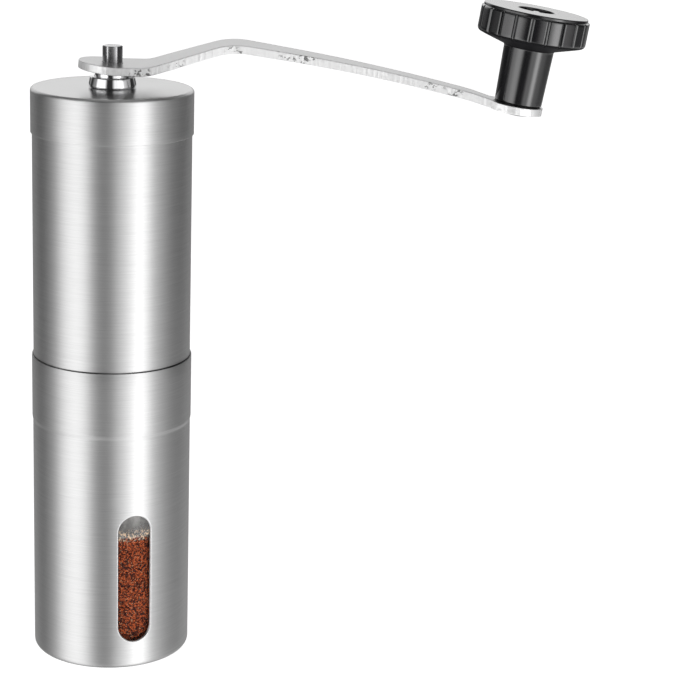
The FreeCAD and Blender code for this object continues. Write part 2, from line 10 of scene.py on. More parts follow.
import bmesh
import bpy
import numpy as np
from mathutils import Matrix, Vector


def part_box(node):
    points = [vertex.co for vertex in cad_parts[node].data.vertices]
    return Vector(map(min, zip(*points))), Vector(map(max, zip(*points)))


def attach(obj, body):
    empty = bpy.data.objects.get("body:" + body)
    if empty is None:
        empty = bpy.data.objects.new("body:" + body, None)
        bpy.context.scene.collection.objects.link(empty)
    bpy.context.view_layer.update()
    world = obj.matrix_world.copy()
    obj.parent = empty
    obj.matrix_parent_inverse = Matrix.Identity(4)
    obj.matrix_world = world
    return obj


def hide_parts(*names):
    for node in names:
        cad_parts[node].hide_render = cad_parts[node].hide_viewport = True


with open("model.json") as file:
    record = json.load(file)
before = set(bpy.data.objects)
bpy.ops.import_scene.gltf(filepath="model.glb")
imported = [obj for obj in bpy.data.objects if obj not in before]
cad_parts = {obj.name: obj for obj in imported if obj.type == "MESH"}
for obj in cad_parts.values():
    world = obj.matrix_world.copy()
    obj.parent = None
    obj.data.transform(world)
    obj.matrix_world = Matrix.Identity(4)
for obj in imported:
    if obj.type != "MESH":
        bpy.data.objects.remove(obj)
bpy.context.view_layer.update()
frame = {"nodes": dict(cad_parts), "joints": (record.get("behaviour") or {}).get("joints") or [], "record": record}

bl_info = {
    "name": "Hand crank coffee grinder",
    "version": (1, 0, 0),
    "blender": (4, 5, 0),
    "location": "View3D > Sidebar > Grinder",
    "description": "Builds the finished surfaces of a hand crank coffee grinder round its frame",
    "category": "Object",
}

MM = 0.001
SLIDE_FIT = 0.06 * MM  # play round a steel piece that slides over the tube
END_GAP = 0.05 * MM  # play between a piece and the shoulder that it rests on
JOINTS = {joint["name"]: joint for joint in frame["joints"]}


# ---- Measuring the frame ----

def corners(node):
    """A frame node's vertices, one row each."""
    mesh = frame["nodes"][node].data
    flat = np.empty(3 * len(mesh.vertices))
    mesh.vertices.foreach_get("co", flat)
    return flat.reshape(-1, 3)


def low_z(node):
    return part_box(node)[0][2]


def top_z(node):
    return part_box(node)[1][2]


def widest(node):
    """Largest distance from the body's axis."""
    points = corners(node)
    return float(np.hypot(points[:, 0], points[:, 1]).max())


def extent(node):
    """Largest distance from the body's axis, lowest z and highest z."""
    return widest(node), low_z(node), top_z(node)


def window_place():
    """Azimuth, half width along the wall, lowest and highest z and wall radius of the cup's window.

    The cup's plain wall has no vertices of its own, so those between the foot and the mouth are the
    window's rim.
    """
    foot_top, mouth_low, skin = 4 * MM, 0.7 * top_z("catch_cup_shell"), 0.01 * MM
    points = corners("catch_cup_shell")
    rim = points[(points[:, 2] > foot_top) & (points[:, 2] < mouth_low)]
    radius = np.hypot(rim[:, 0], rim[:, 1])
    wall = float(radius.max())
    rim = rim[radius > wall - skin]
    azimuth = math.atan2(rim[:, 1].mean(), rim[:, 0].mean())
    across = rim[:, 1] * math.cos(azimuth) - rim[:, 0] * math.sin(azimuth)
    half = wall * math.asin((across.max() - across.min()) / 2 / wall)
    return azimuth, half, float(rim[:, 2].min()), float(rim[:, 2].max()), wall


def knob_turn():
    """3 by 3 turn that takes +Z to the knob's axis, and the axis's foot on the crank."""
    joint = JOINTS["knob_spin"]
    axis = np.array(joint["axis"])
    level = np.array([0.0, 1.0, 0.0])
    side = np.cross(level, axis)
    turn = np.stack([side / np.linalg.norm(side), level, axis], axis=1)
    return turn, np.array(joint["pos_m"])


def along_knob(node):
    """Lowest and highest place of a node along the knob's axis, counted from its foot."""
    turn, foot = knob_turn()
    heights = (corners(node) - foot) @ turn[:, 2]
    return float(heights.min()), float(heights.max())


# ---- Surfaces ----

def rounded(points, steps=6):
    """Polyline through (a, b) or (a, b, radius) points, each radius replaced by its tangent arc.

    An arc's points lie at centre + radius * (cos t, sin t), t stepping evenly from one tangent point to
    the other.
    """
    line = []
    for i, point in enumerate(points):
        here = np.array(point[:2], dtype=float)
        if len(point) < 3 or i in (0, len(points) - 1):
            line.append(here[None])
            continue
        before = np.array(points[i - 1][:2]) - here
        after = np.array(points[i + 1][:2]) - here
        before /= np.linalg.norm(before)
        after /= np.linalg.norm(after)
        half = math.acos(np.clip(before @ after, -1, 1)) / 2
        middle = here + (before + after) / np.linalg.norm(before + after) * point[2] / math.sin(half)
        start = here + before * point[2] / math.tan(half) - middle
        end = here + after * point[2] / math.tan(half) - middle
        first = math.atan2(start[1], start[0])
        sweep = (math.atan2(end[1], end[0]) - first + math.pi) % (2 * math.pi) - math.pi
        t = first + sweep * np.linspace(0, 1, steps + 1)
        line.append(middle + point[2] * np.stack([np.cos(t), np.sin(t)], axis=1))
    return np.concatenate(line)


def closer(line, spacing):
    """The polyline with each run divided evenly so that no step is longer than spacing."""
    parts = []
    for a, b in zip(line[:-1], line[1:]):
        count = max(1, math.ceil(np.linalg.norm(b - a) / spacing))
        parts.append(a + (b - a) * (np.arange(count) / count)[:, None])
    return np.concatenate(parts + [line[-1:]])


def full_turn(count):
    return np.arange(count) * 2 * math.pi / count


def turned_grid(profile, angles, radius=None):
    """Surface of revolution: row i, column j is (r cos a_j, r sin a_j, z_i).

    r is the profile's own r_i, or radius_ij where a radius is given.
    """
    r = profile[:, :1] if radius is None else radius
    return np.stack([r * np.cos(angles), r * np.sin(angles), profile[:, 1:] + 0 * angles], axis=-1)


def grid_faces(rows, columns, wrap):
    """Corner numbers of a grid's faces, wrapped from the last column to the first if asked."""
    i = np.arange(rows - 1)[:, None]
    j = np.arange(columns if wrap else columns - 1)[None, :]
    k = (j + 1) % columns
    square = [i * columns + j, i * columns + k, (i + 1) * columns + k, (i + 1) * columns + j]
    return np.stack(square, axis=-1).reshape(-1, 4)


def build(name, grids, smooth_below=0.5):
    """One object from (points, wrap) grids, with shared seams and poles merged.

    smooth_below is the angle under which two faces are shaded as one surface.
    """
    vertices, faces, base = [], [], 0
    for points, wrap in grids:
        rows, columns = points.shape[:2]
        vertices.append(points.reshape(-1, 3))
        faces.append(grid_faces(rows, columns, wrap) + base)
        base += rows * columns
    return weld(name, np.concatenate(vertices), np.concatenate(faces), smooth_below)


def weld(name, vertices, faces, smooth_below):
    """Mesh object from vertex and face arrays, merged, turned outwards and shaded."""
    mesh = bpy.data.meshes.new(name)
    mesh.vertices.add(len(vertices))
    mesh.vertices.foreach_set("co", vertices.ravel())
    mesh.loops.add(faces.size)
    mesh.loops.foreach_set("vertex_index", faces.ravel())
    mesh.polygons.add(len(faces))
    mesh.polygons.foreach_set("loop_start", np.arange(len(faces)) * faces.shape[1])
    mesh.update(calc_edges=True)
    mesh.validate()
    work = bmesh.new()
    work.from_mesh(mesh)
    bmesh.ops.remove_doubles(work, verts=work.verts, dist=1e-6)
    bmesh.ops.dissolve_degenerate(work, edges=work.edges, dist=1e-7)
    bmesh.ops.recalc_face_normals(work, faces=work.faces)
    work.to_mesh(mesh)
    work.free()
    mesh.shade_smooth()
    mesh.set_sharp_from_angle(angle=smooth_below)
    piece = bpy.data.objects.new(name, mesh)
    bpy.context.scene.collection.objects.link(piece)
    return piece


def turned_piece(name, outline, steps, spacing, columns):
    """Solid of revolution round the body's axis, its outline given as for rounded()."""
    line = closer(rounded(outline, steps), spacing)
    return build(name, [(turned_grid(line, full_turn(columns)), True)])


def finish_piece(piece, slot, body, replaced=()):
    """Gives a piece the finish of its slot and its body, and hides the frame nodes that it stands for, if any."""
    piece.data.materials.append(MATERIALS[slot])
    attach(piece, body)
    if replaced:
        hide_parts(*replaced)


def second_finish(piece, finish, chosen):
    """Gives the finish to the faces for which chosen(normals), one row a face, is true."""
    piece.data.materials.append(MATERIALS[finish])
    normals = np.empty(3 * len(piece.data.polygons))
    piece.data.polygons.foreach_get("normal", normals)
    marks = chosen(normals.reshape(-1, 3))
    piece.data.polygons.foreach_set("material_index", marks.astype(np.int32))


# ---- Materials ----

class Wire:
    """A node's output with Python arithmetic: an expression on values adds its Math nodes."""

    def __init__(self, bench, socket):
        self.bench = bench
        self.socket = socket

    def __add__(self, other):
        return self.bench.maths("ADD", self, other)

    def __sub__(self, other):
        return self.bench.maths("SUBTRACT", self, other)

    def __rsub__(self, other):
        return self.bench.maths("SUBTRACT", other, self)

    def __mul__(self, other):
        return self.bench.maths("MULTIPLY", self, other)


class Bench:
    """A node tree, with methods that add to it."""

    def __init__(self, tree):
        self.tree = tree
        self.tree.nodes.clear()

    def add(self, kind, settings=None, sockets=None, output=0):
        """Adds a node, sets its settings, then its sockets' values or links, and returns one output."""
        node = self.tree.nodes.new(kind)
        for name, value in (settings or {}).items():
            setattr(node, name, value)
        for name, value in (sockets or {}).items():
            if isinstance(value, Wire):
                self.tree.links.new(value.socket, node.inputs[name])
            else:
                node.inputs[name].default_value = value
        return Wire(self, node.outputs[output])

    def maths(self, operation, *values):
        return self.add("ShaderNodeMath", {"operation": operation}, dict(enumerate(values)))

    def part(self, whole, number):
        """x, y or z of a vector."""
        return self.add("ShaderNodeSeparateXYZ", {}, {0: whole}, number)

    def place(self, scale=(1.0, 1.0, 1.0)):
        """Object coordinates, stretched by scale."""
        here = self.add("ShaderNodeTexCoord", output="Object")
        return self.add("ShaderNodeMapping", {}, {"Vector": here, "Scale": scale})

    def height(self):
        """z in object coordinates."""
        return self.part(self.add("ShaderNodeTexCoord", output="Object"), 2)

    def noise(self, scale, detail=2.0, rough=0.5):
        """Value of a cloud pattern on object coordinates stretched by scale, a number or three."""
        scale = scale if isinstance(scale, tuple) else (scale, scale, scale)
        sockets = {"Vector": self.place(scale), "Scale": 1.0, "Detail": detail, "Roughness": rough}
        return self.add("ShaderNodeTexNoise", {}, sockets)

    def between(self, share, low, high):
        """share, from 0 to 1, carried to the range low to high and held inside it."""
        return self.add("ShaderNodeMapRange", {}, {"Value": share, "To Min": low, "To Max": high})

    def step(self, value, low, high):
        """Smooth step: 0 below low and 1 above high."""
        sockets = {"Value": value, "From Min": low, "From Max": high}
        return self.add("ShaderNodeMapRange", {"interpolation_type": "SMOOTHSTEP"}, sockets)

    def colour(self, share, low, high):
        """Mix of two colours by share, each a wire or three numbers."""
        low, high = (end if isinstance(end, Wire) else (*end, 1.0) for end in (low, high))
        return self.add("ShaderNodeMix", {"data_type": "RGBA"}, {0: share, 6: low, 7: high}, 2)

    def bump(self, height, depth, strength):
        """Normal of a relief whose depth is given in millimetres."""
        sockets = {"Height": height, "Distance": depth * MM, "Strength": strength}
        return self.add("ShaderNodeBump", {}, sockets)

    def surface(self, sockets):
        """Principled surface as the material's output."""
        self.end_at("ShaderNodeOutputMaterial", self.add("ShaderNodeBsdfPrincipled", {}, sockets))

    def end_at(self, output, shader):
        out = self.tree.nodes.new(output)
        self.tree.links.new(shader.socket, out.inputs["Surface"])


def new_material(name):
    material = bpy.data.materials.new(name)
    material.use_nodes = True
    return material, Bench(material.node_tree)


def times(factor, tone):
    return tuple(min(1.0, factor * c) for c in tone)


METAL = {"Metallic": 1.0}
# Colour of the painted shade in the crevice just above the cup's rim
SEAM_SHADE = (0.07, 0.07, 0.07)
SPECK = (0.35, 0.31, 0.26)
CHAFF = (0.95, 0.66, 0.42)

# What the rows of moulded plastic share: a spark-eroded grain over a broad flow pattern
MOULDED = ((0.85, 1.15), (2500, 3), ((90, 90, 45), 2), (0, 0.6), (0.03, 0.4))

# The plainer finishes: what grained() takes after the name. A tone in words is a colour of the look.
GRAINED = {
    # Satin faces with faint lines along the strip
    "crank_steel": (
        "crank", (0.28, 0.42), METAL, (0.88, 1), ((60, 4000, 60), 2), (90, 4), (1, 0.5), (0.008, 0.3),
    ),
    # Even satin, the same in every direction
    "lid_top": (
        (0.57, 0.57, 0.57), (0.18, 0.28), METAL, (0.95, 1), (5000, 2), (90, 3), (0, 0.5), (0.004, 0.2),
    ),
    # Polished plate with faint smudges
    "bright_chrome": (
        "chrome", (0.03, 0.10), METAL, (0.94, 1), (300, 3), (300, 3), (1, 1), (0.01, 0.3),
    ),
    # Lathe-turned or rolled steel of the small parts
    "plain_steel": (
        (0.62, 0.62, 0.63), (0.16, 0.36), METAL, (0.8, 1), ((200, 200, 5000), 2), (400, 3), (0, 0.5),
        (0.01, 0.4),
    ),
    "seal_rubber": (
        (0.03, 0.03, 0.03), (0.6, 0.8), {}, (1, 1.5), (3000, 2), (3000, 2), (1, 1), (0.03, 0.4),
    ),
    "knob_underside": ("knob", (0.5, 0.65), {"Specular IOR Level": 0.08}, *MOULDED),
    "black_plastic": ((0.03, 0.03, 0.032), (0.38, 0.55), {}, *MOULDED),
    "bearing_plastic": ((0.78, 0.76, 0.70), (0.3, 0.45), {}, *MOULDED),
}


def grained(name, tone, roughness, others, shades, fine, broad, shares, relief):
    """Finish from a fine and a broad noise, each given as its scale and detail.

    shades are the darkest and lightest factor on the tone, relief the depth and strength of the fine
    noise's bump. The shade and the roughness follow share * fine + (1 - share) * broad, each with its
    own share.
    """
    material, bench = new_material(name)
    small, large = bench.noise(*fine), bench.noise(*broad)
    shade, rough = (small * share + large * (1 - share) for share in shares)
    bench.surface({
        "Base Color": bench.colour(shade, times(shades[0], tone), times(shades[1], tone)),
        "Roughness": bench.between(rough, *roughness),
        "Normal": bench.bump(small, *relief),
        **others,
    })
    return material


def brushed_steel(name, tone, seam=None):
    """Stainless steel brushed round the body, its hair lines stretched along the brushing.

    Two noises much finer in z than in x and y give the lines; colour, roughness and relief follow them.
    Just above seam, if given, a painted shade darkens it: the shadow in the crevice where the tube enters the
    cup's rim.
    """
    material, bench = new_material(name)
    fine = bench.noise((110, 110, 9000), 3, 0.65)
    coarse = bench.noise((40, 40, 2200))
    cloud = bench.noise(60, 3)
    lines = fine * 0.75 + coarse * 0.25
    shown = bench.colour(bench.step(lines, 0.25, 0.75), times(0.88, tone), times(1.06, tone))
    # Painted shade: an uneven dark line on the steel just above the cup's rim, standing in for the crevice's
    # shadow
    if seam is not None:
        z = bench.height()
        over = 1.0 - bench.step(z, seam + 0.1 * MM, seam + 0.35 * MM)
        seam_shade_mask = bench.step(z, seam - 0.2 * MM, seam) * over
        uneven = bench.between(bench.step(cloud, 0.35, 0.65), 0.3, 0.95)
        shown = bench.colour(seam_shade_mask * uneven, shown, SEAM_SHADE)
    bench.surface({
        "Base Color": shown,
        "Metallic": 1.0,
        "Roughness": bench.between(lines * 0.7 + cloud * 0.3, 0.40, 0.48),
        "Anisotropic": 0.6,
        "Anisotropic Rotation": 0.25,
        "Normal": bench.bump(lines, 0.012, 0.35),
    })
    return material


def sheared_steel(name, tone):
    """Cut edge of the strip: bright metal, torn and burnished in blotches."""
    material, bench = new_material(name)
    ridges = bench.noise((1100, 1100, 150), 3, 0.6)
    tear = bench.noise((600, 600, 900), 4, 0.6)
    patch = bench.noise(90)
    torn = bench.step(tear, 0.52, 0.6) * bench.step(patch, 0.52, 0.6)
    bench.surface({
        "Base Color": bench.colour(torn, tone, times(0.2, tone)),
        "Metallic": 0.45,
        "Roughness": bench.between(tear, 0.3, 0.5),
        "Normal": bench.bump(ridges, 0.3, 0.6),
    })
    return material


def gloss_plastic(name, tone):
    """Glossy moulded plastic: a faint flow ripple and small polishing marks under a clear skin."""
    material, bench = new_material(name)
    ripple = bench.noise((110, 110, 60))
    marks = bench.noise((1800, 1800, 900))
    bench.surface({
        "Base Color": bench.colour(ripple, tone, times(1.6, tone)),
        "Roughness": bench.between(marks * 0.6 + ripple * 0.4, 0.10, 0.22),
        "IOR": 1.6,
        "Coat Weight": 0.8,
        "Coat Roughness": 0.06,
        "Normal": bench.bump(ripple + marks * 0.03, 0.15, 0.25),
    })
    return material


def fired_ceramic(name, tone):
    """Off-white burr ceramic with fine dark specks."""
    material, bench = new_material(name)
    specks = bench.noise(1800, 4, 0.7)
    body = bench.colour(bench.noise(150), times(0.92, tone), tone)
    bench.surface({
        "Base Color": bench.colour(bench.step(specks, 0.66, 0.74) * 0.5, body, SPECK),
        "Roughness": bench.between(specks, 0.42, 0.6),
        "Normal": bench.bump(specks, 0.04, 0.5),
    })
    return material


def clear_plastic(name, tone, level):
    """Clear beaker: see-through but for its gloss, with coffee dust clinging above the fill level.

    The share of the glossy shader is the mirrored share at that angle plus the dust's film. Pale chaff
    sticks just above the level and thins out within a few millimetres.
    """
    material, bench = new_material(name)
    z = bench.height()
    above = bench.step(z, level - 0.3 * MM, level + 0.9 * MM)
    near = 1.0 - bench.step(z, level + 0.8 * MM, level + 3.8 * MM)
    specks = bench.noise(1500, 3, 0.6)
    film = bench.noise((260, 260, 160), 4, 0.6)
    chaff = bench.step(specks, 0.52, 0.57) * near * bench.step(z, level - 1.2 * MM, level)
    dusty = bench.colour(bench.step(film, 0.3, 0.7), times(0.55, tone), times(1.5, tone))
    shine = bench.add("ShaderNodeBsdfPrincipled", {}, {
        "Base Color": bench.colour(chaff, dusty, CHAFF),
        "Roughness": bench.between(film, 0.06, 0.2),
        "Normal": bench.bump(specks * above, 0.1, 0.4),
    })
    clear = bench.add("ShaderNodeBsdfTransparent", {}, {"Color": (0.96, 0.97, 0.97, 1.0)})
    mirrored = bench.add("ShaderNodeFresnel", {}, {"IOR": 1.45})
    share = mirrored * 0.35 + above * bench.between(film, 0.45, 0.8) + chaff * 0.8
    mixed = bench.add("ShaderNodeMixShader", {}, {0: share, 1: clear, 2: shine})
    bench.end_at("ShaderNodeOutputMaterial", mixed)
    return material


def coffee(name, dark, light, glint):
    """Ground coffee: angular grains, each cell with its own brown and darker towards its border as painted shade
    between grains, and a painted glint on a few.
    """
    material, bench = new_material(name)
    cells = {"Vector": bench.place(), "Scale": 2300.0}
    tone = bench.add("ShaderNodeTexVoronoi", {}, cells, "Color")
    depth = bench.add("ShaderNodeTexVoronoi", {}, cells, "Distance")
    cloud = bench.noise(500, 3)
    share, other = (bench.add("ShaderNodeSeparateColor", {}, {0: tone}, i) for i in range(2))
    # Darker towards each cell's border: painted shade in the gaps between grains
    brown = bench.colour(bench.step(share * 0.8 + cloud * 0.3 - depth * 0.4, 0.1, 0.8), dark, light)
    # Painted glint: the glint colour on the middle of a few cells, standing in for highlights on the grains
    pale = bench.step(other, 0.80, 0.90) * (1.0 - bench.step(depth, 0.2, 0.5))
    bench.surface({
        "Base Color": bench.colour(pale, brown, glint),
        "Roughness": bench.between(share, 0.55, 0.85),
        "Specular IOR Level": 0.3,
        "Normal": bench.bump(1.0 - depth + cloud * 0.4, 0.35, 0.9),
    })
    return material


def make_materials(look):
    """Every finish, keyed by the record's slot names, with those only used here added."""
    steel = tuple(look.steel)
    made = {
        # The cup's rim top: the painted shade of the seam sits just above it
        "brushed_steel": (brushed_steel, steel, top_z("catch_cup_shell")),
        "satin_lid": (brushed_steel, steel),
        "sheared_edge": (sheared_steel, (1.0, 1.0, 1.0)),
        "knob_black": (gloss_plastic, tuple(look.knob)),
        "clear_plastic": (clear_plastic, (0.30, 0.295, 0.285), look.coffee_level),
        "ceramic": (fired_ceramic, (0.86, 0.84, 0.79)),
        # Dark and light brown of the grains, then the colour of their painted glint
        "ground_coffee": (coffee, (0.07, 0.007, 0.002), (1.0, 0.19, 0.055), (1.0, 0.52, 0.30)),
    }
    for name, (tone, *rest) in GRAINED.items():
        made[name] = (grained, tuple(getattr(look, tone)) if isinstance(tone, str) else tone, *rest)
    return {name: maker(name, *rest) for name, (maker, *rest) in made.items()}


MATERIALS = {}


# ---- Sizes and colours a user would change ----

def length(name, description, millimetres):
    return bpy.props.FloatProperty(
        name=name, description=description, default=millimetres * MM, unit="LENGTH", precision=5,
    )


def tint(name, description, default):
    return bpy.props.FloatVectorProperty(
        name=name, description=description, default=default, subtype="COLOR", size=3, min=0.0, max=1.0,
    )


class GrinderLook(bpy.types.PropertyGroup):
    """Colours and the fill of the cup."""

    steel: tint("Steel", "Colour of the brushed body", (0.66, 0.66, 0.66))
    crank: tint("Crank", "Colour of the crank's satin faces", (0.66, 0.66, 0.66))
    chrome: tint("Chrome", "Colour of the bright plated parts", (0.86, 0.86, 0.87))
    knob: tint("Knob", "Colour of the knob", (0.008, 0.008, 0.009))
    coffee_level: length("Coffee level", "Height of the ground coffee in the cup", 42.4)


class GrinderShell(bpy.types.PropertyGroup):
    """Body sizes that the frame doesn't give directly."""

    wall: length("Wall", "Thickness of the steel", 0.6)
    foot_round: length("Foot rounding", "Radius of the cup's lower edge", 1.8)
    socket_step: length("Socket step", "Height of the slope where the cup widens", 1.2)
    bevel: length("Window bevel", "Width of the window's bright bevel", 0.35)
    lid_round: length("Lid rounding", "Radius of the lid's upper edge", 1.0)
    lid_plate: length("Lid plate", "Thickness of the lid's top", 0.8)


class GrinderCrank(bpy.types.PropertyGroup):
    """Shape of the crank, its heights counted from the row's base."""

    strip: length("Strip", "Thickness of the crank", 2.4)
    tip_lift: length("Tip lift", "How far the hub's free end is bent up", 1.5)
    valley: length("Valley", "Distance from the shaft to the first bend", 10.6)
    peak: length("Peak", "Distance from the shaft to the highest bend", 35.2)
    peak_height: length("Peak height", "Height at which the lines beside the highest bend meet", 192.5)
    sag: length("Long bend", "Distance from the shaft to the long gentle bend", 77.0)
    sag_height: length("Long bend height", "Height of the long gentle bend", 186.17)
    neck: length("Neck", "Distance from the shaft to the steeper last stretch", 107.5)
    neck_height: length("Neck height", "Height of the bend before the last stretch", 179.0)
    end_bend: length("End bend", "Distance from the shaft to the bend before the disc", 115.4)
    hub: length("Hub", "Radius of the round end on the shaft", 10.8)
    hub_shift: length("Hub shift", "How far its centre lies beyond the shaft", 0.8)
    disc: length("Disc", "Radius of the end disc", 8.7)
    disc_shift: length("Disc shift", "How far the end disc's centre lies short of the knob's axis", 1.1)
    edge: length("Edge", "Rounding of the strip's edges", 0.28)


class GrinderKnob(bpy.types.PropertyGroup):
    """Shape of the knob, its heights counted along its axis from the crank."""

    sleeve_low: length("Sleeve foot", "Radius of the sleeve at the crank", 7.15)
    sleeve_top: length("Sleeve neck", "Radius of the sleeve under the head", 7.6)
    neck: length("Neck", "Height of the neck", 17.2)
    head: length("Head", "Radius of the lobed head", 16.4)
    face: length("Face", "Radius of the flat face", 15.75)
    band: length("Band", "Height of the smooth band under the face", 0.95)
    recess: length("Recess", "Radius of the recess round the rivet", 5.5)
    recess_depth: length("Recess depth", "Depth of the recess", 3.4)
    lobes: bpy.props.IntProperty(name="Lobes", description="Lobes round the head", default=21, min=3)
    groove: length("Groove", "Depth of the grooves between lobes", 0.45)
    first: bpy.props.FloatProperty(
        name="First groove", description="Angle of the first groove from the crank's direction",
        default=math.radians(2.5), subtype="ANGLE",
    )


GROUPS = {
    "grinder_look": GrinderLook, "grinder_shell": GrinderShell, "grinder_crank": GrinderCrank,
    "grinder_knob": GrinderKnob,
}


# ---- Catch cup ----

RING_SHARES = (1.0, 0.72, 0.48, 0.28, 0.13, 0.04, 0.0)
BEVEL_ROWS = 4


def slot_wall(angle, half, low, high, radius, wall, bevel, margin, side_rows, end_columns):
    """Wall round the window: rings from a rectangle in to the slot, through the wall, and out again.

    In the unrolled wall a rectangle point p has spine point s, its own height held between the centres
    of the slot's round ends, and its slot point is s + half * (p - s) / |p - s|. A ring lies at a fixed
    share of the way from slot to rectangle, and is rolled back by angle = t / radius.
    """
    t = np.linspace(-half - margin, half + margin, end_columns + 1)
    z = np.linspace(low - margin, high + margin, side_rows + 1)
    edge = np.concatenate([
        np.stack([t[:-1], 0 * t[:-1] + z[0]], 1), np.stack([0 * z[:-1] + t[-1], z[:-1]], 1),
        np.stack([t[:0:-1], 0 * t[1:] + z[-1]], 1), np.stack([0 * z[1:] + t[0], z[:0:-1]], 1),
    ])
    spine = np.stack([0 * edge[:, 1], np.clip(edge[:, 1], low + half, high - half)], 1)
    way = edge - spine
    way /= np.linalg.norm(way, axis=1)[:, None]
    outer, inner = spine + way * (half + bevel), spine + way * half
    rings = [(outer + (edge - outer) * share, radius) for share in RING_SHARES]
    for turn in np.linspace(0, math.pi / 2, BEVEL_ROWS + 1)[1:]:
        reach, depth = bevel * (1 - math.sin(turn)), bevel * (1 - math.cos(turn))
        rings.append((spine + way * (half + reach), radius - depth))
    rings += [(inner + (edge - inner) * share, radius - wall) for share in reversed(RING_SHARES)]
    sheet = []
    for flat, r in rings:
        a = angle + flat[:, 0] / radius
        sheet.append(np.stack([r * np.cos(a), r * np.sin(a), flat[:, 1]], 1))
    return np.array(sheet), t / radius, z


class GRINDER_OT_cup(bpy.types.Operator):
    """Steel catch cup with its widened mouth and bevelled window"""

    bl_idname = "grinder.cup"
    bl_label = "Catch cup"

    def execute(self, context):
        size = context.scene.grinder_shell
        wall, bevel = size.wall, size.bevel
        angle, half, low, high, radius = window_place()
        mouth, _, rim = extent("catch_cup_shell")
        bore = widest("upper_tube") + SLIDE_FIT
        ledge = low_z("upper_tube") - END_GAP
        step, bend = ledge - 0.35 * MM, 3 * MM
        inside, base = radius - wall, 0.8 * MM
        front, ends, heights = slot_wall(
            angle, half - bevel, low + bevel, high - bevel, radius, wall, bevel, margin=4 * MM,
            side_rows=44, end_columns=20,
        )
        rest = angle + np.linspace(ends[-1], ends[0] + 2 * math.pi, 161)
        ring = np.concatenate([angle + ends[:-1], rest[:-1]])
        foot = rounded([(0, 0), (radius, 0, size.foot_round), (radius, heights[0])], 8)
        floor = rounded([(inside, heights[0]), (inside, base, size.foot_round - wall), (0, base)], 6)
        upper = rounded([
            (radius, heights[-1]), (radius, step - size.socket_step, bend), (mouth, step, bend),
            (mouth, rim, 0.15 * MM), (bore, rim, 0.12 * MM), (bore, ledge), (inside, ledge),
            (inside, heights[-1]),
        ], 5)
        grids = [(front, True)]
        for r in (radius, inside):
            grids.append((turned_grid(np.stack([0 * heights + r, heights], 1), rest), False))
        for line, spacing in ((foot, 4 * MM), (floor, 4 * MM), (upper, 5 * MM)):
            grids.append((turned_grid(closer(line, spacing), ring), True))
        finish_piece(build("cup_shell", grids), "brushed_steel", "catch_cup", ["catch_cup_shell"])
        return {"FINISHED"}


def grains(count, centre, size, seed):
    """Coffee grains: icosahedra squashed, turned and placed by chance, as vertex and face arrays.

    A grain's corner is centre + turn @ (corner * stretch * lump), the turn from a random quaternion.
    """
    chance = np.random.default_rng(seed)
    golden = (1 + math.sqrt(5)) / 2
    corner = np.array([
        np.roll((short, long, 0), shift)
        for shift in range(3) for long in (golden, -golden) for short in (-1, 1)
    ]) / math.hypot(1, golden)
    face = np.array([
        (0, 11, 5), (0, 5, 1), (0, 1, 7), (0, 7, 10), (0, 10, 11), (1, 5, 9), (5, 11, 4), (11, 10, 2),
        (10, 7, 6), (7, 1, 8), (3, 9, 4), (3, 4, 2), (3, 2, 6), (3, 6, 8), (3, 8, 9), (4, 9, 5),
        (2, 4, 11), (6, 2, 10), (8, 6, 7), (9, 8, 1),
    ])
    stretch = size * chance.uniform(0.45, 1.25, (count, 1, 3))
    lumps = 1 + chance.uniform(-0.22, 0.22, (count, 12, 1))
    q = chance.normal(size=(count, 4))
    w, x, y, z = (q / np.linalg.norm(q, axis=1)[:, None]).T
    turn = np.array([
        [1 - 2 * (y * y + z * z), 2 * (x * y - z * w), 2 * (x * z + y * w)],
        [2 * (x * y + z * w), 1 - 2 * (x * x + z * z), 2 * (y * z - x * w)],
        [2 * (x * z - y * w), 2 * (y * z + x * w), 1 - 2 * (x * x + y * y)],
    ]).transpose(2, 0, 1)
    points = np.einsum("nij,nkj->nki", turn, corner * stretch * lumps) + centre[:, None, :]
    faces = face[None] + 12 * np.arange(count)[:, None, None]
    return points.reshape(-1, 3), faces.reshape(-1, 3)


